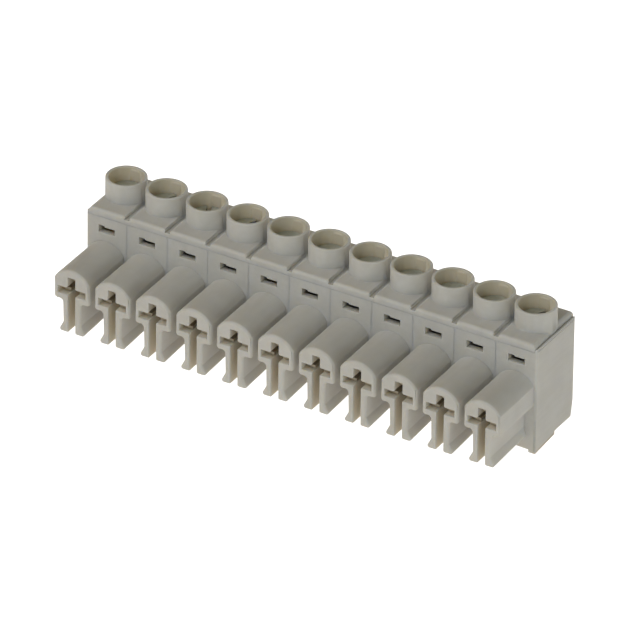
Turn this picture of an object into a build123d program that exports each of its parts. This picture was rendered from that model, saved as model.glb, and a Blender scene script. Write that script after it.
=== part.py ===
from build123d import *
import math
import os

# Removable screw-clamp terminal block with eleven poles, in millimetres.
# The housing is a row of slices, one to a pole, under one top cover.
# +X runs along the row, -Y is the mating side with the fingers, +Y is the wire side, +Z is up.
# The origin lies under the middle of the block, on the plane that its feet stand on.

# Row
poles = 11
pitch = 5.08

# Body
body_depth = 8.3
front_bottom = 0.33
rear_bottom = 0.65
foot_depth = 4.28
foot_width = 0.84
foot_bevel_width = 0.3
foot_bevel_height = 0.28
back_taper_start = 3.4
back_taper = 0.55
body_edge_radius = 0.3
front_wall = 0.95
back_wall = 1.0
pole_wall = 1.08
chamber_floor = 2.6
end_bead_width = 0.28
end_bead_height = 0.33
end_bead_radius = 0.11
end_groove_height = 0.12
end_groove = 0.07

# Front windows
window_width = 2.03
window_height = 0.74
window_drop = 1.95
window_notch_width = 0.76
window_notch_height = 0.15

# Fingers
finger_length = 7.3
finger_width = 4.4
arch_wall = 0.94
arch_rise = 1.34
flange_wall = 0.775
flange_corner = 0.2
finger_nose = 0.2
leg_width_at_root = 2.34
leg_width_at_kink = 2.2
leg_root_corner = 0.2
leg_bottom = 1.72
barb_width = 2.9
barb_height = 1.25
barb_corner = 0.26

# Cross-shaped contact opening in each finger
arm_width = 3.5
arm_clearance = 0.04
slot_width = 0.94
slot_rise = 1.315
opening_end_wall = 0.7

# Top cover
cover_thickness = 0.9
cover_edge_gap = 0.04
groove_width = 0.64
groove_depth = 0.42
pad_edge = 0.11
cover_end_radius = 0.5
cover_front_radius = 0.4
cover_back_radius = 0.3
plug_depth = 0.4
plug_clearance = 0.04
collar_radius = 2.3
collar_wall = 0.35
collar_rise = 2.37
head_recess = 0.5
rib_width = 1.2
rib_depth = 0.14
rib_end_below_rim = 0.35

# Clamp screw
screw_head_clearance = 0.25
screw_head_height = 1.3
screw_seat_clearance = 0.05
screw_tip_gap = 0.03
thread_radius = 1.22
thread_lead = 0.45
slot_cut_width = 0.6
slot_cut_depth = 0.8
shank_hole_clearance = 0.13

# Clamp cage
cage_turns = 6.5
cage_side_clearance = 0.1
cage_end_clearance = 0.12
cage_floor_gap = 0.12
cage_top_gap = 0.18
cage_wall = 0.6
cage_base = 0.8
cage_head = 1.6
cage_bend = 0.3
cage_bar_gap = 0.1
closed_gap = 0.1
thread_clearance = 0.04

# Contact
sheet = 0.4
bar_side_gap = 0.1
bar_slot_clearance = 0.05
contact_fit = 0.06
bar_end_pocket = 0.5
leaf_setback = 0.9
leaf_slit = 0.13
leaf_slit_end = 1.3
spring_sheet = 0.3
spring_top_gap = 0.26
spring_rise = 0.5
spring_bend = 1.2

# Conductor entries in the back wall
entry_step = 0.1
entry_corner = 0.5
entry_flare = 0.4

# Angle of each screwdriver slot from the row's direction, first pole to last
slot_angles = [28, 72, 110, 76, 3, 15, 32, 6, 38, 26, 60]

# How far a cutting tool runs past the material that it cuts
overrun = 1.0

# Places along the row and across it
row_length = poles * pitch
row_end = row_length / 2
pole_centres = [(index - (poles - 1) / 2) * pitch for index in range(poles)]
front_y = (finger_length - body_depth) / 2
back_y = front_y + body_depth
tip_y = front_y - finger_length
opening_end = front_y - opening_end_wall
chamber_width = pitch - pole_wall
chamber_front = front_y + front_wall
chamber_back = back_y - back_wall
screw_y = (chamber_front + chamber_back) / 2
cage_half = chamber_width / 2 - cage_side_clearance
cage_inner_half = cage_half - cage_wall
bar_half = cage_inner_half - bar_side_gap

# Heights, stacked from the chamber floor to the rim of the collars
cage_travel = cage_turns * thread_lead
cage_bottom = chamber_floor + cage_floor_gap
clamp_floor = cage_bottom + cage_base
bar_bottom = clamp_floor + cage_travel + closed_gap
bar_top = bar_bottom + 2 * sheet
cage_roof = bar_top + cage_bar_gap
cage_top = cage_roof + cage_head
parting_height = cage_top + cage_travel + cage_top_gap + plug_depth
cover_top = parting_height + cover_thickness
screw_seat = cover_top - head_recess
collar_top = cover_top + collar_rise
window_bottom = parting_height - window_drop
arm_bottom = bar_bottom - arm_clearance
arm_top = bar_top + arm_clearance
slot_top = arm_top + slot_rise
arch_top = slot_top + arch_wall
side_top = arch_top - arch_rise
flange_bottom = arm_bottom - flange_wall
barb_top = leg_bottom + barb_height


def block(x0, x1, y0, y1, z0, z1):
    """Box between two corners."""
    box = Box(x1 - x0, y1 - y0, z1 - z0)
    return Pos((x0 + x1) / 2, (y0 + y1) / 2, (z0 + z1) / 2) * box


def plane_facing_front(y):
    """Plane across the row whose sketches have x along the row and y up."""
    return Plane(origin=(0, y, 0), x_dir=(1, 0, 0), z_dir=(0, -1, 0))


def plane_facing_end(x):
    """Plane along the depth whose sketches have x towards the back and y up."""
    return Plane(origin=(x, 0, 0), x_dir=(0, 1, 0), z_dir=(1, 0, 0))


def repeated(shape):
    """One copy of a shape at every pole."""
    return [Pos(x, 0, 0) * shape for x in pole_centres]


def corners_at(face, x, height):
    """Corners of a flat outline that lie at plus and minus x, at one height."""
    return [v for v in face.vertices() if abs(abs(v.X) - x) < 1e-6 and abs(v.Y - height) < 1e-6]


def slice_block():
    """Outside of one slice, drawn as its end view and run along one pitch."""
    outline = Polyline(
        (front_y, front_bottom),
        (front_y, parting_height),
        (back_y, parting_height),
        (back_y, back_taper_start),
        (back_y - back_taper, rear_bottom),
        (front_y + foot_depth, rear_bottom),
        (front_y + foot_depth, front_bottom),
        close=True,
    )
    face = plane_facing_end(-pitch / 2) * make_face(outline)
    return extrude(face, amount=pitch)


def end_strip(side, width, y0, y1, z0, z1):
    """Bar along the outer side of an end slice; side is -1 at pole 1 and 1 at the last pole."""
    inner = side * (pitch / 2 - width)
    outer = side * pitch / 2
    return block(min(inner, outer), max(inner, outer), y0, y1, z0, z1)


def end_foot(side):
    """Small foot under one end wall, with a bevel that grows from nothing towards the back."""
    foot = end_strip(side, foot_width, front_y, front_y + foot_depth, 0, front_bottom)
    outer = side * pitch / 2
    reach = 1 + overrun / foot_depth  # the cut runs past the foot's back end
    corner = Polyline(
        (outer, 0),
        (outer - side * foot_bevel_width * reach, 0),
        (outer, foot_bevel_height * reach),
        close=True,
    )
    back = plane_facing_front(front_y + foot_depth + overrun) * make_face(corner)
    return foot - loft([back, Vertex(outer, front_y, 0)])


def end_bead(side):
    """Rounded bead along the top of one end wall."""
    top = parting_height + end_bead_height
    bead = end_strip(side, end_bead_width, front_y, back_y, parting_height, top)
    top_edges = bead.faces().sort_by(Axis.Z)[-1].edges().filter_by(Axis.Y)
    return fillet(top_edges, end_bead_radius)


def end_groove_cut(side):
    """Fine groove along one end face, just above the parting line."""
    height = parting_height + end_groove_height
    return end_strip(side, end_groove, front_y, back_y, height - end_groove, height + end_groove)


def end_rounding(side):
    """Upright prism that rounds the two outer corners of an end slice."""
    plan = RectangleRounded(2 * pitch, body_depth, body_edge_radius)
    place = Pos(-side * pitch / 2, (front_y + back_y) / 2, 0)
    return extrude(place * plan, amount=collar_top)


def slice_body(side):
    """Body of one slice; side is -1 or 1 at the ends of the row and 0 between them."""
    body = slice_block()
    if side:
        body += end_bead(side)
        body -= end_groove_cut(side)
        body = body & end_rounding(side)
        body += end_foot(side)
    return body


def finger_outline():
    """End view of one finger: arched top, flat sides, flange and two barbed legs."""
    half = finger_width / 2
    root = leg_width_at_root / 2
    kink = leg_width_at_kink / 2
    barb = barb_width / 2
    arch = ThreePointArc((half, side_top), (0, arch_top), (-half, side_top))
    left = Polyline(
        (-half, side_top),
        (-half, flange_bottom),
        (-root, flange_bottom),
        (-kink, barb_top),
        (-barb, leg_bottom),
        (0, leg_bottom),
    )
    right = mirror(left, about=Plane.YZ)
    face = make_face(arch + left + right)
    face = chamfer(corners_at(face, half, flange_bottom), flange_corner)
    face = chamfer(corners_at(face, root, flange_bottom), leg_root_corner)
    return chamfer(corners_at(face, barb, leg_bottom), barb_corner)


def cross_outline():
    """Cross-shaped opening: two arms, the slot above them and the gap between the legs."""
    arms = Pos(0, (arm_bottom + arm_top) / 2) * Rectangle(arm_width, arm_top - arm_bottom)
    low = leg_bottom - overrun
    slot = Pos(0, (slot_top + low) / 2) * Rectangle(slot_width, slot_top - low)
    return arms + slot


def finger():
    """One mating finger with its cross-shaped opening."""
    solid = extrude(plane_facing_front(front_y) * finger_outline(), amount=finger_length)
    solid = chamfer(solid.faces().sort_by(Axis.Y)[0].edges(), finger_nose)
    depth = opening_end - tip_y
    opening = extrude(plane_facing_front(opening_end) * cross_outline(), amount=depth + overrun)
    return solid - opening


def entry_cut():
    """Conductor entry through the back wall, flared towards the outside."""
    width = 2 * (cage_inner_half - entry_step)
    height = bar_bottom - clamp_floor - 2 * entry_step
    centre = Pos(0, (clamp_floor + bar_bottom) / 2)
    opening = Rectangle(width, height)
    opening = centre * chamfer(opening.vertices(), entry_corner)
    mouth_corner = entry_corner + (2 - math.sqrt(2)) * entry_flare
    mouth = Rectangle(width + 2 * entry_flare, height + 2 * entry_flare)
    mouth = centre * chamfer(mouth.vertices(), mouth_corner)
    straight = extrude(plane_facing_front(back_y) * opening, amount=back_wall + overrun)
    flare = extrude(plane_facing_front(back_y) * mouth, amount=entry_flare, taper=45)
    return straight + flare


def window_cut():
    """Window through the front wall, a little taller at its left end."""
    left = -window_width / 2
    top = window_bottom + window_height
    y0 = front_y - overrun
    y1 = chamber_front + overrun
    opening = block(left, window_width / 2, y0, y1, window_bottom, top)
    notch = block(left, left + window_notch_width, y0, y1, window_bottom, top + window_notch_height)
    return opening + notch


def chamber_cut():
    """Clamp chamber with the passages that open into it, as one tool for cutting."""
    half = chamber_width / 2
    chamber = block(-half, half, chamber_front, chamber_back, chamber_floor, parting_height + overrun)
    passage_half = bar_half + bar_slot_clearance
    bar_passage = block(
        -passage_half, passage_half, opening_end - overrun, chamber_back + bar_end_pocket,
        bar_bottom - bar_slot_clearance, bar_top + bar_slot_clearance,
    )
    return chamber + window_cut() + bar_passage + entry_cut()


def housing_slice(side):
    """One pole of the housing: body, finger, chamber, window and conductor entry."""
    return slice_body(side) + finger() - chamber_cut()


def cover_front_view():
    """Front view of the cover strip: rounded ends, and a groove between each two pads."""
    end_x = row_end - end_bead_width - cover_edge_gap
    strip = Pos(0, (parting_height + cover_top) / 2) * Rectangle(2 * end_x, cover_thickness)
    strip = fillet(corners_at(strip, end_x, cover_top), cover_end_radius)
    half_groove = groove_width / 2
    for x in pole_centres[:-1]:
        middle = x + pitch / 2
        groove = Pos(middle, cover_top) * Rectangle(groove_width, 2 * groove_depth)
        strip -= groove
        strip = chamfer(
            [v for v in strip.vertices()
             if abs(abs(v.X - middle) - half_groove) < 1e-6 and abs(v.Y - cover_top) < 1e-6],
            pad_edge,
        )
    return strip


def cover_end_view():
    """End view of the cover strip, rounded along its front and back edges."""
    middle = Pos((front_y + back_y) / 2, (parting_height + cover_top) / 2)
    side = middle * Rectangle(body_depth, cover_thickness)
    top_corners = side.vertices().group_by(Axis.Y)[-1].sort_by(Axis.X)
    side = fillet(top_corners[0], cover_front_radius)
    top_corners = side.vertices().group_by(Axis.Y)[-1].sort_by(Axis.X)
    return fillet(top_corners[-1], cover_back_radius)


def cover_plate():
    """Cover strip as the part common to its front view and its end view."""
    across = extrude(plane_facing_front(back_y) * cover_front_view(), amount=body_depth)
    along = extrude(plane_facing_end(-row_end) * cover_end_view(), amount=row_length)
    return across & along


def collar():
    """Tool collar of one pole, before its bore is cut."""
    low = cover_top - groove_depth
    return Pos(0, screw_y, (low + collar_top) / 2) * Cylinder(collar_radius, collar_top - low)


def plug():
    """Locating plug under the cover that drops into one chamber."""
    half = chamber_width / 2 - plug_clearance
    return block(
        -half, half, chamber_front + plug_clearance, chamber_back - plug_clearance,
        parting_height - plug_depth, parting_height,
    )


def collar_bore():
    """Stepped bore for one screw, with the guide rib left standing at its back."""
    bore_radius = collar_radius - collar_wall
    bore_height = collar_top + overrun - screw_seat
    bore = Pos(0, screw_y, screw_seat + bore_height / 2) * Cylinder(bore_radius, bore_height)
    rib = block(
        -rib_width / 2, rib_width / 2, screw_y + bore_radius - rib_depth, screw_y + collar_radius,
        screw_seat, collar_top - rib_end_below_rim,
    )
    hole_low = parting_height - plug_depth - overrun
    hole_height = screw_seat - hole_low
    hole = Cylinder(thread_radius + shank_hole_clearance, hole_height)
    return bore - rib + Pos(0, screw_y, hole_low + hole_height / 2) * hole


def top_cover():
    """Cover with pads, collars, bores and plugs."""
    cover = cover_plate() + repeated(collar()) + repeated(plug())
    return cover - repeated(collar_bore())


def clamp_screw(slot_angle):
    """Slotted screw whose tip stands just above the contact bar."""
    head_radius = collar_radius - collar_wall - screw_head_clearance
    head_low = screw_seat + screw_seat_clearance
    head_top = head_low + screw_head_height
    tip = bar_top + screw_tip_gap
    head = Pos(0, 0, (head_low + head_top) / 2) * Cylinder(head_radius, screw_head_height)
    shank = Pos(0, 0, (tip + head_low) / 2) * Cylinder(thread_radius, head_low - tip)
    slot = Pos(0, 0, head_top) * Box(2 * collar_radius, slot_cut_width, 2 * slot_cut_depth)
    return Pos(0, screw_y, 0) * (Rot(0, 0, slot_angle) * (head + shank - slot))


def clamp_cage():
    """Box clamp in its open place: the wire passes over its base and the screw turns in its head."""
    outline = Pos(0, (cage_bottom + cage_top) / 2) * Rectangle(2 * cage_half, cage_top - cage_bottom)
    outline = chamfer(outline.vertices(), cage_bend)
    space = Pos(0, (clamp_floor + cage_roof) / 2) * Rectangle(2 * cage_inner_half, cage_roof - clamp_floor)
    back = chamber_back - cage_end_clearance
    length = back - chamber_front - cage_end_clearance
    cage = extrude(plane_facing_front(back) * (outline - space), amount=length)
    hole = Cylinder(thread_radius + thread_clearance, 2 * cage_head)
    return cage - Pos(0, screw_y, cage_roof + cage_head / 2) * hole


def middle_leaf(leaf_tip, fold, half):
    """Bowed spring leaf that presses on the header pin from above."""
    high = slot_top - spring_top_gap - spring_sheet / 2
    low = high - spring_rise
    centre = Polyline(
        (fold + sheet, bar_top - spring_sheet / 2),
        (fold - spring_bend, high),
        (leaf_tip + spring_bend, low),
        (leaf_tip, low + spring_sheet),
    )
    ribbon = trace(centre, spring_sheet)
    return extrude(plane_facing_end(-half) * ribbon, amount=2 * half)


def contact():
    """Contact strip: folded bar behind, flat outer leaves and a bowed middle leaf in front."""
    leaf_tip = tip_y + leaf_setback
    fold = front_y - leaf_slit_end
    bar_end = chamber_back + bar_end_pocket - contact_fit
    bar = block(-bar_half, bar_half, fold, bar_end, bar_bottom, bar_top)
    half = arm_width / 2 - contact_fit
    plate = block(-half, half, leaf_tip, fold + sheet, bar_bottom, bar_bottom + sheet)
    middle_half = slot_width / 2 - contact_fit
    slit_half = middle_half + leaf_slit
    slit = block(-slit_half, slit_half, leaf_tip - overrun, fold, bar_bottom - overrun, bar_top + overrun)
    return bar + (plate - slit) + middle_leaf(leaf_tip, fold, middle_half)


def write_part(shape, name):
    """Write one node."""
    shape.label = name
    export_step(shape, f"parts/{name}.step")


os.makedirs("parts", exist_ok=True)
write_part(top_cover(), "top_cover")
slices = {side: housing_slice(side) for side in (-1, 0, 1)}
for index, x in enumerate(pole_centres):
    place = Pos(x, 0, 0)
    number = f"{index + 1:02d}"
    side = {0: -1, poles - 1: 1}.get(index, 0)
    write_part(place * slices[side], f"housing_{number}")
    write_part(place * contact(), f"contact_{number}")
    write_part(place * clamp_cage(), f"clamp_cage_{number}")
    write_part(place * clamp_screw(slot_angles[index % len(slot_angles)]), f"clamp_screw_{number}")
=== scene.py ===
import math

import bmesh
import bpy
from mathutils import Matrix, Vector


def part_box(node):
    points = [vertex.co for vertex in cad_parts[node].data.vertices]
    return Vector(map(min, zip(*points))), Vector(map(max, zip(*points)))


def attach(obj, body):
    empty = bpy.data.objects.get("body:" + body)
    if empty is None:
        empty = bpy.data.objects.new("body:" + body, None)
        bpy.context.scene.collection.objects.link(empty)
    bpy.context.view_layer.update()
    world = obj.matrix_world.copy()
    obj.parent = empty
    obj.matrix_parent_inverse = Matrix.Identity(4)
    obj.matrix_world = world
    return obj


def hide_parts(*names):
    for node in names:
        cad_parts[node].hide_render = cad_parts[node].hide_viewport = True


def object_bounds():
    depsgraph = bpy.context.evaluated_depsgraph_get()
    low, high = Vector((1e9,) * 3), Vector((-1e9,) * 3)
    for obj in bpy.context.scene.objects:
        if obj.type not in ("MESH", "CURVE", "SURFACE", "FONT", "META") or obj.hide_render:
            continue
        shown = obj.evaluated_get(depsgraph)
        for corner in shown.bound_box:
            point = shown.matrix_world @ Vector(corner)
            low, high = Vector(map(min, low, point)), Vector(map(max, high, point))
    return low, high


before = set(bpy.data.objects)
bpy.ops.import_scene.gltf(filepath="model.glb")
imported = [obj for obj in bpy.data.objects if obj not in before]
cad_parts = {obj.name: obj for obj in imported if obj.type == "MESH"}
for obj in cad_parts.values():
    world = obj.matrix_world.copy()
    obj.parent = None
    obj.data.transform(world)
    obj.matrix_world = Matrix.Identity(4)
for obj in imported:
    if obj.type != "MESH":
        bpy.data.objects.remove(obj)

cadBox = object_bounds()
mm = 0.001
poleCount = sum(1 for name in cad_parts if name.startswith("clamp_screw_"))
poleNumbers = [f"{index + 1:02d}" for index in range(poleCount)]


def nodeMiddle(node):
    low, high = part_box(node)
    return (low + high) / 2


poleCentres = [nodeMiddle(f"clamp_screw_{number}").x for number in poleNumbers]
pitch = poleCentres[1] - poleCentres[0]
screwLow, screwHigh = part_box("clamp_screw_01")
screwY = nodeMiddle("clamp_screw_01").y
cageLow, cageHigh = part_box("clamp_cage_01")
frontY, backY = (corner.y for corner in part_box("top_cover"))
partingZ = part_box("housing_02")[1].z  # where the cover meets the slices
tipY = cadBox[0].y
endX = cadBox[1].x
collarTop = cadBox[1].z
print("frame loaded,", poleCount, "poles")


# Shader maths written as Python

class Wire:
    # one output socket of a node tree, which joins in an expression like a number
    def __init__(self, recipe, socket):
        self.recipe = recipe
        self.socket = socket

    def maths(self, operation, *values):
        return self.recipe.node("ShaderNodeMath", {"operation": operation}, *values)

    def __add__(self, other):
        return self.maths("ADD", self, other)

    def __radd__(self, other):
        return self.maths("ADD", other, self)

    def __sub__(self, other):
        return self.maths("SUBTRACT", self, other)

    def __rsub__(self, other):
        return self.maths("SUBTRACT", other, self)

    def __mul__(self, other):
        return self.maths("MULTIPLY", self, other)

    def __rmul__(self, other):
        return self.maths("MULTIPLY", other, self)

    def __lt__(self, other):
        return self.maths("LESS_THAN", self, other)

    def __gt__(self, other):
        return self.maths("GREATER_THAN", self, other)

    def __abs__(self):
        return self.maths("ABSOLUTE", self)

    def fraction(self):
        return self.maths("FRACT", self)

    def smooth(self, low, high):
        # 0 below low, 1 above high, eased between
        settings = {"interpolation_type": "SMOOTHSTEP"}
        limits = {"From Min": low, "From Max": high}
        return self.recipe.node("ShaderNodeMapRange", settings, Value=self, **limits)


class Recipe:
    # one material under construction
    def __init__(self, name, **shaderValues):
        self.material = bpy.data.materials.new(name)
        self.material.use_nodes = True
        self.tree = self.material.node_tree
        self.shader = self.tree.nodes["Principled BSDF"]
        for socket, value in shaderValues.items():
            self.shader.inputs[socket.replace("_", " ")].default_value = value

    def node(self, kind, settings=None, *inOrder, output=0, **byName):
        made = self.tree.nodes.new(kind)
        for key, value in (settings or {}).items():
            setattr(made, key, value)
        for index, value in enumerate(inOrder):
            self.feed(made.inputs[index], value)
        for key, value in byName.items():
            self.feed(made.inputs[key], value)
        return Wire(self, made.outputs[output])

    def feed(self, socket, value):
        if isinstance(value, Wire):
            self.tree.links.new(value.socket, socket)
        else:
            socket.default_value = value

    def place(self):
        return self.node("ShaderNodeTexCoord", output="Object")

    def axes(self):
        split = self.node("ShaderNodeSeparateXYZ", None, self.place()).socket.node
        return [Wire(self, split.outputs[axis]) for axis in ("X", "Y", "Z")]

    def stretched(self, *scales):
        return self.node("ShaderNodeVectorMath", {"operation": "MULTIPLY"}, self.place(), scales)

    def noise(self, where, scale, detail=2.0, roughness=0.5):
        sockets = {"Vector": where, "Scale": scale, "Detail": detail, "Roughness": roughness}
        return self.node("ShaderNodeTexNoise", None, **sockets)

    def blend(self, factor, first, second):
        made = self.tree.nodes.new("ShaderNodeMix")
        made.data_type = "RGBA"
        for socket, value in zip((made.inputs[0], made.inputs[6], made.inputs[7]), (factor, first, second)):
            self.feed(socket, value)
        return Wire(self, made.outputs[2])

    def bump(self, height, strength, distance):
        return self.node("ShaderNodeBump", None, Strength=strength, Distance=distance, Height=height)

    def finish(self, colour, roughness, normal):
        for socket, value in (("Base Color", colour), ("Roughness", roughness), ("Normal", normal)):
            self.feed(self.shader.inputs[socket], value)
        return self.material


# Moulded plastic

mouldedLook = {
    "light": (0.700, 0.690, 0.668, 1),
    "dark": (0.655, 0.644, 0.620, 1),
    # painted warm shade, for the collars' bores and the fingers' recesses
    "inside": (0.725, 0.680, 0.590, 1),
    # painted shade, for the lower outer edge of the end feet
    "foot": (0.585, 0.515, 0.445, 1),
    "toneScale": 420,
    "toneRange": (0.35, 0.65),
    "flowScale": 1500,
    "flowStretch": (1, 0.12, 1),
    "flowShare": 0.4,
    "grainScale": 9000,
    "grainDepth": 0.006 * mm,
    "grainStrength": 0.5,
    "sliceSwing": 0.75,
    "roughness": 0.46,
    "roughnessSwing": 0.12,
    "milky": 0.6,
    "milkyReach": (1.0, 0.85, 0.6),
    "milkyDepth": 1.1 * mm,
    "boreRadius": 2.0 * mm,
}
softEdge = 0.04 * mm  # half the width of a tint's edge


def below(value, limit):
    return 1 - value.smooth(limit - softEdge, limit + softEdge)


def between(value, low, high):
    return value.smooth(low - softEdge, low + softEdge) * below(value, high)


def polesAlong(recipe):
    # counts poles along the row: 20 at its left end, and a half over a whole number at each screw
    return recipe.axes()[0] * (1 / pitch) + (poleCount / 2 + 20)


def fromPole(recipe):
    # how far to the side of its own pole's middle a point is
    return (polesAlong(recipe).fraction() - 0.5) * pitch


def paintedBoreWarmth(recipe):
    # painted warm shade down in each collar's bore, standing in for light that has come through the walls
    # and bounced in the bore
    across = fromPole(recipe)
    behind = recipe.axes()[1] - screwY
    fromAxis = recipe.node("ShaderNodeMath", {"operation": "POWER"}, across * across + behind * behind, 0.5)
    return below(fromAxis, mouldedLook["boreRadius"])


# where the painted warm shade lies in and around each finger
fingerWarmShadePlaces = {
    "mouth": (0.1 * mm, 0.6 * mm),
    "root": 0.08 * mm,
    "armHalf": 1.77 * mm,
    "armHeights": (6.2 * mm, 7.7 * mm),
    "slotHalf": 0.6 * mm,
    "slotHeights": (1.0 * mm, 9.3 * mm),
    "windowHalf": 1.3 * mm,
    "windowHeights": (partingZ - 1.93 * mm, partingZ - 0.2 * mm),
    "windowDepths": (0.08 * mm, 0.3 * mm),
    "windowBack": 1.3 * mm,
}


def paintedFingerWarmth(recipe):
    # painted warm shade in the cross and slot of each finger, and in the front window above it
    tint = fingerWarmShadePlaces
    y, z = recipe.axes()[1:]
    across = abs(fromPole(recipe))
    arms = below(across, tint["armHalf"]) * between(z, *tint["armHeights"])
    slot = below(across, tint["slotHalf"]) * between(z, *tint["slotHeights"])
    opening = arms.maths("MAXIMUM", arms, slot) * (1 - y.smooth(frontY - tint["root"], frontY))
    inFinger = opening * y.smooth(*(tipY + depth for depth in tint["mouth"]))
    window = below(across, tint["windowHalf"]) * between(z, *tint["windowHeights"])
    inWindow = window * y.smooth(*(frontY + depth for depth in tint["windowDepths"]))
    return inFinger + inWindow * (y < frontY + tint["windowBack"])


footTint = {
    "rise": 0.1,
    "heights": (0.12 * mm, 0.2 * mm),
    "width": 0.35 * mm,
    "depth": 4.28 * mm,
}


def paintedFootShadow(recipe):
    # painted shade on the lower outer edge of each of the end feet, in a band that widens towards the back
    x, y, z = recipe.axes()
    along = y - frontY
    low = 1 - (z - footTint["rise"] * along).smooth(*footTint["heights"])
    return low * (abs(x) > endX - footTint["width"]) * (along < footTint["depth"])


def mouldedPlastic(name, look, paintedWarmShadeOf, sliced=False):
    milky = {
        "Subsurface_Weight": look["milky"],
        "Subsurface_Radius": look["milkyReach"],
        "Subsurface_Scale": look["milkyDepth"],
    }
    recipe = Recipe(name, IOR=1.5, **milky)
    place = recipe.place()
    tone = recipe.noise(place, look["toneScale"], 3.0)
    flow = recipe.noise(recipe.stretched(*look["flowStretch"]), look["flowScale"])
    grain = recipe.noise(place, look["grainScale"], roughness=0.6)
    shade = ((1 - look["flowShare"]) * tone + look["flowShare"] * flow).smooth(*look["toneRange"])
    if sliced:
        along = polesAlong(recipe)
        step = recipe.node("ShaderNodeTexWhiteNoise", {"noise_dimensions": "1D"}, W=along - along.fraction())
        shade = shade + look["sliceSwing"] * (step - 0.5)
    plain = recipe.blend(shade, look["dark"], look["light"])
    # painted shade under the end feet
    outside = recipe.blend(paintedFootShadow(recipe), plain, look["foot"])
    # painted warm shade in the bores and recesses
    colour = recipe.blend(paintedWarmShadeOf(recipe), outside, look["inside"])
    roughness = look["roughness"] + look["roughnessSwing"] * (grain - 0.5)
    normal = recipe.bump(grain, look["grainStrength"], look["grainDepth"])
    return recipe.finish(colour, roughness, normal)


# Plated metal

metalLooks = {
    "screw": {
        "light": (0.66, 0.70, 0.71, 1),
        "dark": (0.54, 0.58, 0.58, 1),
        # painted shade down in the slot
        "paintedSlotShade": (0.16, 0.17, 0.17, 1),
        "scale": 1400,
        "stretch": (1, 1, 1),
        "roughness": 0.3,
    },
    "cage": {
        "light": (0.70, 0.71, 0.70, 1),
        "dark": (0.52, 0.53, 0.52, 1),
        "scale": 900,
        "stretch": (0.2, 1, 1),
        "roughness": 0.42,
    },
    # tin plate darkened towards brown: partly the metal's own colour, partly painted shade down in the
    # fingers
    "contact": {
        "light": (0.60, 0.56, 0.48, 1),
        "dark": (0.48, 0.44, 0.37, 1),
        "scale": 1100,
        "stretch": (1, 0.2, 1),
        "roughness": 0.5,
    },
}
platingLook = {
    "streakRange": (0.3, 0.7),
    "roughnessSwing": 0.12,
    "bumpStrength": 0.25,
    "bumpDepth": 0.002 * mm,
    "slotDepths": (1.25 * mm, 0.2 * mm),
}


def slotShadeMask(recipe):
    # painted shade below the face of the screw's head, down in its slot
    return between(recipe.axes()[2], *(screwHigh.z - depth for depth in platingLook["slotDepths"]))


def platedMetal(name, look, shadeOf=None):
    recipe = Recipe(name, Metallic=1.0)
    streak = recipe.noise(recipe.stretched(*look["stretch"]), look["scale"], 3.0, 0.6)
    colour = recipe.blend(streak.smooth(*platingLook["streakRange"]), look["dark"], look["light"])
    if shadeOf:
        # painted shade where shadeOf marks it
        colour = recipe.blend(shadeOf(recipe), colour, look["paintedSlotShade"])
    roughness = look["roughness"] + platingLook["roughnessSwing"] * (streak - 0.5)
    normal = recipe.bump(streak, platingLook["bumpStrength"], platingLook["bumpDepth"])
    return recipe.finish(colour, roughness, normal)


housingPlastic = mouldedPlastic("housing_plastic_look", mouldedLook, paintedFingerWarmth, sliced=True)
coverPlastic = mouldedPlastic("cover_plastic_look", mouldedLook, paintedBoreWarmth)
screwZinc = platedMetal("screw_zinc_look", metalLooks["screw"], shadeOf=slotShadeMask)
cageSteel = platedMetal("cage_steel_look", metalLooks["cage"])
shadedTinPlate = platedMetal("tin_plate_and_painted_shade_look", metalLooks["contact"])
print("finishes made")


# Tools for every piece

meshFit = {"merge": 0.0005 * mm, "cut": 0.0001 * mm, "flat": math.radians(0.5)}


def dress(piece, material):
    piece.data.materials.clear()
    piece.data.materials.append(material)


def deselectAll():
    if bpy.context.object and bpy.context.object.mode == "EDIT":
        bpy.ops.object.mode_set(mode="OBJECT")
    bpy.ops.object.select_all(action="DESELECT")


def makeActive(piece):
    deselectAll()
    piece.select_set(True)
    bpy.context.view_layer.objects.active = piece


def mergeDoubles():
    bpy.ops.mesh.remove_doubles(threshold=meshFit["merge"])


def copyOfNode(node, name, cuts=()):
    # the copy is cut along each plane, so that no flat face is left with a hole in it
    piece = bpy.data.objects.new(name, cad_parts[node].data.copy())
    bpy.context.scene.collection.objects.link(piece)
    makeActive(piece)
    bpy.ops.object.mode_set(mode="EDIT")
    bpy.ops.mesh.select_mode(type="EDGE")
    bpy.ops.mesh.select_all(action="SELECT")
    mergeDoubles()
    for point, normal in cuts:
        bpy.ops.mesh.select_all(action="SELECT")
        bpy.ops.mesh.bisect(plane_co=point, plane_no=normal, threshold=meshFit["cut"])
        bpy.ops.mesh.mark_seam()
    bpy.ops.mesh.select_all(action="SELECT")
    bpy.ops.mesh.dissolve_limited(angle_limit=meshFit["flat"], delimit={"SEAM"})
    bpy.ops.mesh.mark_seam(clear=True)
    bpy.ops.object.mode_set(mode="OBJECT")
    return piece


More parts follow.
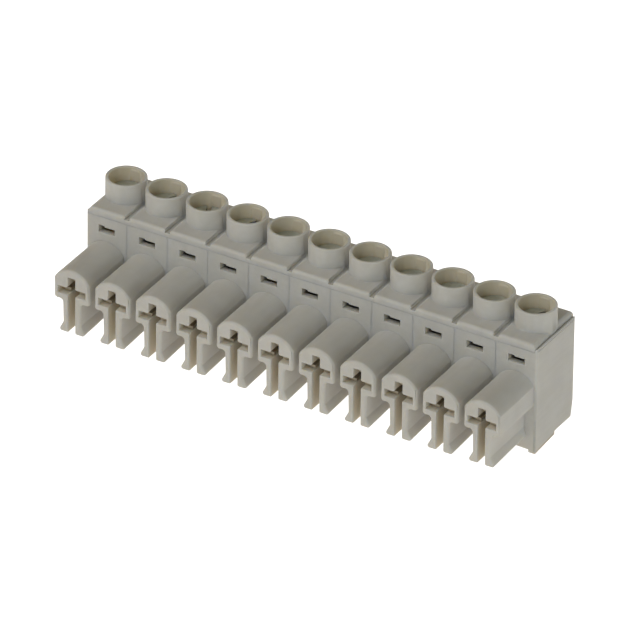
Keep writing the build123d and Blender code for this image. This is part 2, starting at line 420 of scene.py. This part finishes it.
def roundEdges(piece, widthOf, sharpFrom=25, onFold=None, foldFrom=5):
    # every sharp edge is rounded by the width that its place asks for
    # on a fold, a slight angle counts as sharp
    mesh = bmesh.new()
    mesh.from_mesh(piece.data)
    weights = mesh.edges.layers.float.new("bevel_weight_edge")
    widest = 0.001 * mm  # never zero, because the weights are divided by it
    for edge in mesh.edges:
        if len(edge.link_faces) != 2:
            continue
        middle = (edge.verts[0].co + edge.verts[1].co) / 2
        least = foldFrom if onFold and onFold(middle) else sharpFrom
        if edge.calc_face_angle() > math.radians(least):
            edge[weights] = widthOf(middle, edge.is_convex)
            widest = max(widest, edge[weights])
    for edge in mesh.edges:
        edge[weights] /= widest
    mesh.to_mesh(piece.data)
    mesh.free()
    makeActive(piece)
    bevel = piece.modifiers.new("edges", "BEVEL")
    bevel.limit_method = "WEIGHT"
    bevel.width = widest
    bevel.segments = 3
    bevel.use_clamp_overlap = False
    bevel.miter_outer = "MITER_ARC"
    bpy.ops.object.modifier_apply(modifier="edges")
    settleShading(piece)


def settleShading(piece):
    # flat faces stay flat beside their rounded edges
    makeActive(piece)
    bpy.ops.object.shade_smooth_by_angle(angle=math.radians(40))
    weighted = piece.modifiers.new("flats", "WEIGHTED_NORMAL")
    weighted.keep_sharp = True
    weighted.weight = 80
    bpy.ops.object.modifier_apply(modifier="flats")


def copyAlong(piece, name, shift, turn=0.0):
    # a copy with its own mesh, turned about the screw's axis and then shifted along the row
    made = piece.copy()
    made.data = piece.data.copy()
    made.name = name
    bpy.context.scene.collection.objects.link(made)
    pivot = Vector((poleCentres[0], screwY, 0))
    there = Matrix.Translation(pivot + Vector((shift, 0, 0)))
    made.data.transform(there @ Matrix.Rotation(turn, 4, "Z") @ Matrix.Translation(-pivot))
    return made


def stand(piece, body, node, material):
    dress(piece, material)
    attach(piece, body)
    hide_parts(node)


# Housing slices

sliceEdges = {
    "seam": 0.03 * mm,
    "parting": 0.05 * mm,
    "bead": 0.015 * mm,
    "outside": 0.07 * mm,
    "nose": 0.11 * mm,
    "cross": 0.09 * mm,
    "crossCorner": 0.28 * mm,
    "leg": 0.1 * mm,
    "barb": 0.04 * mm,
    "root": 0.03 * mm,
    "window": 0.035 * mm,
    "sill": 0.3 * mm,
    "entry": 0.05 * mm,
}
slicePlaces = {
    "endWall": endX - 1.0 * mm,
    "footTop": 0.4 * mm,
    "beadLow": partingZ - 0.1 * mm,
    "undersideTop": 1.0 * mm,
    "sideWall": 0.3 * mm,
    "windowBack": frontY + 0.95 * mm,
    "windowFloor": partingZ - 1.95 * mm,
    "entryHalf": 1.7 * mm,
    "entryMouth": 0.45 * mm,
}
fingerPlaces = {
    "front": tipY + 0.01 * mm,
    "noseBack": tipY + 0.25 * mm,
    "root": frontY - 0.05 * mm,
    "top": 10.0 * mm,
    "crossHalf": 1.8 * mm,
    "crossLow": 6.0 * mm,
    "crossHigh": 9.5 * mm,
    "upperArmLow": 7.1 * mm,
    "upperArmHalf": 0.6 * mm,
}
barbLook = {
    "top": 2.97 * mm,
    "flare": 0.22 * mm,
    "legSide": 1.15 * mm,
}


def near(value, target, reach=0.02 * mm):
    return abs(value - target) < reach


def onBarb(at):
    return near(at.z, barbLook["top"], 0.05 * mm) and at.y < frontY


def flareBarbs(piece, centreX):
    # the barbs stand a little further out than the solid's, as in the photograph
    makeActive(piece)
    for side in (-1, 1):
        for vert in piece.data.vertices:
            across = side * (vert.co.x - centreX)
            low = vert.co.z < barbLook["top"] - 0.1 * mm
            vert.select = low and vert.co.y < frontY - 0.01 * mm and across > barbLook["legSide"]
        for edge in piece.data.edges:
            edge.select = False
        for face in piece.data.polygons:
            face.select = False
        bpy.ops.object.mode_set(mode="EDIT")
        bpy.ops.mesh.select_mode(type="VERT")
        bpy.ops.transform.translate(value=(side * barbLook["flare"], 0, 0))
        bpy.ops.object.mode_set(mode="OBJECT")


def fingerWidth(at, across, convex):
    # the edges that stand out in front of the slice's wall
    places = fingerPlaces
    onCross = across < places["crossHalf"]
    if at.y < places["front"]:
        return sliceEdges["cross" if onCross else "nose"]
    if at.y < places["noseBack"] and not (onCross and places["crossLow"] < at.z < places["crossHigh"]):
        return sliceEdges["nose"]
    if onBarb(at):
        return sliceEdges["barb"]
    if not convex:
        return 0
    if onCross and at.z > places["crossLow"]:
        inUpperArm = at.z > places["upperArmLow"] and across < places["upperArmHalf"]
        return sliceEdges["crossCorner" if inUpperArm else "cross"]
    return sliceEdges["leg"]


def sliceWidth(centreX):
    # how wide each edge of the slice at this pole is rounded
    places = slicePlaces

    def widthOf(at, convex):
        across = abs(at.x - centreX)
        atEnd = abs(at.x) > places["endWall"]
        if atEnd and at.z < places["footTop"]:
            return 0
        if atEnd and at.z > places["beadLow"]:
            return sliceEdges["bead"] if convex else 0
        if near(at.z, partingZ):
            return sliceEdges["parting"]
        if near(across, pitch / 2):
            return sliceEdges["outside" if near(abs(at.x), endX) else "seam"]
        if at.y < fingerPlaces["root"]:
            return fingerWidth(at, across, convex)
        if near(at.y, frontY):
            if convex:
                return sliceEdges["window" if at.z > fingerPlaces["top"] else "outside"]
            return sliceEdges["root"]
        if near(at.y, places["windowBack"]) and near(at.z, places["windowFloor"]):
            return sliceEdges["sill"]
        if near(at.y, backY, places["entryMouth"]) and across < places["entryHalf"] and convex:
            return sliceEdges["entry"]
        if across < pitch / 2 - places["sideWall"] and at.z > places["undersideTop"]:
            return 0
        return sliceEdges["outside"] if convex else 0
    return widthOf


def mouldSlice(number):
    centre = poleCentres[int(number) - 1]
    piece = copyOfNode(f"housing_{number}", f"slice_{number}", [((centre, 0, 0), (1, 0, 0))])
    flareBarbs(piece, centre)
    roundEdges(piece, sliceWidth(centre), onFold=onBarb)
    return piece


middleSlice = mouldSlice("02")
for index, number in enumerate(poleNumbers):
    if number in ("01", poleNumbers[-1]):
        piece = mouldSlice(number)
    elif number == "02":
        piece = middleSlice
    else:
        piece = copyAlong(middleSlice, f"slice_{number}", poleCentres[index] - poleCentres[1])
    stand(piece, "block", f"housing_{number}", housingPlastic)
print("slices moulded,", len(middleSlice.data.polygons), "faces each")


# Top cover

coverEdges = {
    "rim": 0.12 * mm,
    "collarBase": 0.12 * mm,
    "pad": 0.05 * mm,
    "seam": 0.05 * mm,
    "bore": 0.02 * mm,
}
coverPlaces = {"boreReach": 2.1 * mm, "collarReach": 2.4 * mm}


def coverWidth(at, convex):
    if near(at.z, collarTop):
        return coverEdges["rim"]
    if at.z < partingZ + 0.02 * mm:
        return coverEdges["seam"] if at.z > partingZ - 0.02 * mm and convex else 0
    across = min(abs(at.x - x) for x in poleCentres)
    fromAxis = math.hypot(across, at.y - screwY)
    if fromAxis < coverPlaces["boreReach"]:
        return coverEdges["bore"] if convex else 0
    if fromAxis < coverPlaces["collarReach"]:
        return 0 if convex else coverEdges["collarBase"]
    return coverEdges["pad"] if convex else 0


rowCuts = [((x, 0, 0), (1, 0, 0)) for x in poleCentres]
rowCuts += [((x + pitch / 2, 0, 0), (1, 0, 0)) for x in poleCentres[:-1]]
rowCuts += [((0, screwY, 0), (0, 1, 0))]
cover = copyOfNode("top_cover", "cover_strip", rowCuts)
roundEdges(cover, coverWidth)
stand(cover, "block", "top_cover", coverPlastic)
print("cover moulded,", len(cover.data.polygons), "faces")


# Clamp screws

screwLook = {
    "slotAngles": [28, 72, 110, 76, 3, 15, 32, 6, 38, 26, 68],
    "headHeight": 1.3 * mm,
    "headEdge": 0.12 * mm,
    "slotEdge": 0.03 * mm,
    "crest": 1.22 * mm,
    "root": 0.97 * mm,
    "lead": 0.45 * mm,
    "flank": 0.15 * mm,
    "stepsPerTurn": 28,
}
headLow = screwHigh.z - screwLook["headHeight"]


def clearOf(piece, point, normal):
    # cuts away what lies on the far side of a plane and closes the cut
    makeActive(piece)
    bpy.ops.object.mode_set(mode="EDIT")
    bpy.ops.mesh.select_all(action="SELECT")
    bpy.ops.mesh.bisect(
        plane_co=point, plane_no=normal, use_fill=True, clear_outer=True, threshold=meshFit["cut"],
    )
    bpy.ops.object.mode_set(mode="OBJECT")


def cutThread(look, low, high, x, y):
    # one turn's profile is drawn up from a point, wound along the axis and cut to its length
    deselectAll()
    turns = math.ceil((high - low) / look["lead"]) + 2
    start = low - look["lead"]
    bpy.ops.mesh.primitive_plane_add(size=0.1 * mm, location=(look["root"], 0, start))
    thread = bpy.context.object
    bpy.ops.object.transform_apply(location=True)
    bpy.ops.object.mode_set(mode="EDIT")
    bpy.ops.mesh.select_all(action="SELECT")
    bpy.ops.mesh.merge(type="CENTER")
    rise = look["crest"] - look["root"]
    land = (look["lead"] - 2 * look["flank"]) / 3
    outline = ((0, land), (rise, look["flank"]), (0, land), (-rise, look["flank"]), (0, land))
    for out, up in outline:
        bpy.ops.mesh.extrude_region_move(TRANSFORM_OT_translate={"value": (out, 0, up)})
    bpy.ops.object.mode_set(mode="OBJECT")
    winding = thread.modifiers.new("winding", "SCREW")
    winding.steps = winding.render_steps = look["stepsPerTurn"]
    winding.screw_offset = look["lead"]
    winding.iterations = turns
    winding.use_merge_vertices = True
    winding.merge_threshold = meshFit["merge"]
    bpy.ops.object.modifier_apply(modifier="winding")
    thread.data.transform(Matrix.Translation((x, y, 0)))
    bpy.ops.object.mode_set(mode="EDIT")
    bpy.ops.mesh.select_all(action="SELECT")
    mergeDoubles()
    bpy.ops.mesh.normals_make_consistent(inside=False)
    bpy.ops.object.mode_set(mode="OBJECT")
    clearOf(thread, (x, y, high), (0, 0, 1))
    clearOf(thread, (x, y, low), (0, 0, -1))
    return thread


def screwWidth(at, convex):
    if not convex:
        return 0
    fromAxis = math.hypot(at.x - poleCentres[0], at.y - screwY)
    onRim = fromAxis > (screwHigh.x - screwLow.x) / 2 - 0.05 * mm
    return screwLook["headEdge"] if onRim else screwLook["slotEdge"]


def joined(pieces, name):
    deselectAll()
    for piece in pieces:
        piece.select_set(True)
    bpy.context.view_layer.objects.active = pieces[0]
    bpy.ops.object.join()
    pieces[0].name = name
    return pieces[0]


firstHead = copyOfNode("clamp_screw_01", "screw_01")
clearOf(firstHead, (0, 0, headLow), (0, 0, -1))
roundEdges(firstHead, screwWidth)
firstThread = cutThread(screwLook, screwLow.z, headLow, poleCentres[0], screwY)
settleShading(firstThread)
firstScrew = joined([firstHead, firstThread], "screw_01")
for index, number in enumerate(poleNumbers):
    turn = math.radians(screwLook["slotAngles"][index] - screwLook["slotAngles"][0])
    piece = firstScrew
    if index:
        piece = copyAlong(firstScrew, f"screw_{number}", poleCentres[index] - poleCentres[0], turn)
    stand(piece, f"screw_{number}", f"clamp_screw_{number}", screwZinc)
print("screws cut,", len(firstScrew.data.polygons), "faces each")


# Clamp cages

cageLook = {
    "bend": 0.14 * mm,
    "edge": 0.05 * mm,
    "wall": 0.31 * mm,
    "insideHalf": 1.3 * mm,
    "floor": 0.8 * mm,
    "toothPitch": 0.6 * mm,
    "toothHeight": 0.06 * mm,
    "toothFoot": 0.1 * mm,
    "toothMargin": 0.4 * mm,
}


def cageWidth(at, convex):
    outside = abs(at.x - poleCentres[0]) > (cageHigh.x - cageLow.x) / 2 - cageLook["wall"]
    if outside and not (near(at.y, cageLow.y) or near(at.y, cageHigh.y)):
        return cageLook["bend"]
    return cageLook["edge"] if convex else 0


def pressTeeth(look, x):
    # a strip on the clamp's floor, folded up into ridges across the wire
    front, back = cageLow.y + look["toothMargin"], cageHigh.y - look["toothMargin"]
    floor = cageLow.z + look["floor"]
    deselectAll()
    bpy.ops.mesh.primitive_cube_add(size=1, location=(0, 0, 0))
    strip = bpy.context.object
    strip.scale = (2 * look["insideHalf"], back - front, 2 * look["toothFoot"])
    strip.location = (x, (front + back) / 2, floor - look["toothFoot"])
    bpy.ops.object.transform_apply(location=True, rotation=True, scale=True)
    bpy.ops.object.mode_set(mode="EDIT")
    count = int((back - front) / look["toothPitch"]) * 2
    spacing = (back - front) / count
    for index in range(1, count):
        bpy.ops.mesh.select_all(action="SELECT")
        bpy.ops.mesh.bisect(plane_co=(0, front + index * spacing, 0), plane_no=(0, 1, 0))
    bpy.ops.mesh.select_all(action="DESELECT")
    bpy.ops.object.mode_set(mode="OBJECT")
    for vert in strip.data.vertices:
        index = round((vert.co.y - front) / spacing)
        vert.select = index % 2 == 1 and vert.co.z > floor - look["toothFoot"]
    bpy.ops.object.mode_set(mode="EDIT")
    bpy.ops.transform.translate(value=(0, 0, look["toothHeight"]))
    bpy.ops.object.mode_set(mode="OBJECT")
    return strip


cageCuts = [((poleCentres[0], 0, 0), (1, 0, 0)), ((0, screwY, 0), (0, 1, 0))]
firstCage = copyOfNode("clamp_cage_01", "cage_01", cageCuts)
roundEdges(firstCage, cageWidth)
firstCage = joined([firstCage, pressTeeth(cageLook, poleCentres[0])], "cage_01")
for index, number in enumerate(poleNumbers):
    piece = firstCage
    if index:
        piece = copyAlong(firstCage, f"cage_{number}", poleCentres[index] - poleCentres[0])
    stand(piece, f"cage_{number}", f"clamp_cage_{number}", cageSteel)
print("cages bent,", len(firstCage.data.polygons), "faces each")


# Contacts

contactLook = {"edge": 0.04 * mm, "fold": 0.12 * mm, "sharpFrom": 8}


def contactWidth(at, convex):
    return contactLook["edge" if convex else "fold"]


firstContact = copyOfNode("contact_01", "strip_01")
roundEdges(firstContact, contactWidth, sharpFrom=contactLook["sharpFrom"])
for index, number in enumerate(poleNumbers):
    piece = firstContact
    if index:
        piece = copyAlong(firstContact, f"strip_{number}", poleCentres[index] - poleCentres[0])
    stand(piece, "block", f"contact_{number}", shadedTinPlate)
print("contacts stamped,", len(firstContact.data.polygons), "faces each")


# Stage, light and camera

cameraFit = {
    "azimuth": 29.9745,
    "elevation": 31.3717,
    "roll": 0.7965,
    "distance": 1248.9249 * mm,
    "right": 1.2416 * mm,
    "up": 6.6199 * mm,
    "lens": 654.233,
    "origin": Vector((0, -0.5, 0.08)) * mm,
}


def towards(look):
    # the direction from the object to a camera or a lamp; 0 degrees is straight in front
    azimuth, elevation = math.radians(look["azimuth"]), math.radians(look["elevation"])
    return Vector((
        math.sin(azimuth) * math.cos(elevation),
        -math.cos(azimuth) * math.cos(elevation),
        math.sin(elevation),
    ))


def cameraAxes(fit):
    azimuth, roll = math.radians(fit["azimuth"]), math.radians(fit["roll"])
    back = towards(fit)
    right = Vector((math.cos(azimuth), math.sin(azimuth), 0))
    up = back.cross(right)
    turnedRight = math.cos(roll) * right + math.sin(roll) * up
    turnedUp = math.cos(roll) * up - math.sin(roll) * right
    return turnedRight, turnedUp, back


def addCamera(fit):
    right, up, back = cameraAxes(fit)
    data = bpy.data.cameras.new("camera")
    data.lens = fit["lens"]
    data.sensor_width = 36
    data.clip_start = 0.01
    data.clip_end = 10
    camera = bpy.data.objects.new("camera", data)
    bpy.context.scene.collection.objects.link(camera)
    turn = Matrix((right, up, back)).transposed()
    camera.matrix_world = Matrix.Translation(
        fit["origin"] + back * fit["distance"] + right * fit["right"] + up * fit["up"]
    ) @ turn.to_4x4()
    bpy.context.scene.camera = camera


addCamera(cameraFit)

lampSize = (0.4, 0.3)
lampDistance = 0.5
lamps = {
    "leftUpper": {"azimuth": -45, "elevation": 45, "power": 0.79, "colour": (1.0, 1.0, 0.98)},
    "rightUpper": {"azimuth": 30, "elevation": 30, "power": 0.24, "colour": (0.75, 0.9, 1.0)},
    "rightLow": {"azimuth": 80, "elevation": 6, "power": 0.42, "colour": (0.8, 0.92, 1.0)},
    "front": {"azimuth": 0, "elevation": 5, "power": 0.10, "colour": (0.75, 0.9, 1.0)},
    "back": {"azimuth": 175, "elevation": 12, "power": 0.45, "colour": (0.85, 0.94, 1.0)},
}


def addLamp(name, look):
    data = bpy.data.lights.new(name, "AREA")
    data.shape = "RECTANGLE"
    data.size, data.size_y = lampSize
    data.energy = look["power"]
    data.color = look["colour"]
    lamp = bpy.data.objects.new(name, data)
    bpy.context.scene.collection.objects.link(lamp)
    lamp.location = towards(look) * lampDistance
    lamp.rotation_euler = towards(look).to_track_quat("Z", "Y").to_euler()


for lampName, lampLook in lamps.items():
    addLamp(lampName, lampLook)

stageLook = {
    "floorSize": 6.0,
    "floorColour": (0.9, 0.9, 0.9, 1),
    "floorGlow": 1.1,
    "above": (0.120, 0.098, 0.055, 1),
    "below": (0.63, 0.59, 0.52, 1),
    "horizon": 0.05,
}


def addFloor(look):
    deselectAll()
    bpy.ops.mesh.primitive_plane_add(size=look["floorSize"], location=(0, 0, 0))
    floor = bpy.context.object
    floor.name = "floor"
    recipe = Recipe(
        "floor_look", Base_Color=look["floorColour"], Roughness=0.9, Specular_IOR_Level=0.0,
        Emission_Color=(1, 1, 1, 1), Emission_Strength=look["floorGlow"],
    )
    dress(floor, recipe.material)
    floor.visible_diffuse = False
    floor.visible_glossy = False
    floor.visible_shadow = False


def lightTent(look):
    # an even glow from below, as from a white table, and a weaker one from above
    world = bpy.data.worlds.new("studio")
    world.use_nodes = True
    nodes, links = world.node_tree.nodes, world.node_tree.links
    direction = nodes.new("ShaderNodeTexCoord")
    split = nodes.new("ShaderNodeSeparateXYZ")
    edge = nodes.new("ShaderNodeMapRange")
    edge.inputs["From Min"].default_value = -look["horizon"]
    edge.inputs["From Max"].default_value = look["horizon"]
    mix = nodes.new("ShaderNodeMix")
    mix.data_type = "RGBA"
    mix.inputs[6].default_value = look["below"]
    mix.inputs[7].default_value = look["above"]
    links.new(direction.outputs["Generated"], split.inputs[0])
    links.new(split.outputs["Z"], edge.inputs["Value"])
    links.new(edge.outputs[0], mix.inputs[0])
    links.new(mix.outputs[2], nodes["Background"].inputs["Color"])
    bpy.context.scene.world = world
    bpy.context.scene.view_settings.view_transform = "Standard"


addFloor(stageLook)
lightTent(stageLook)
print("stage, light and camera set")
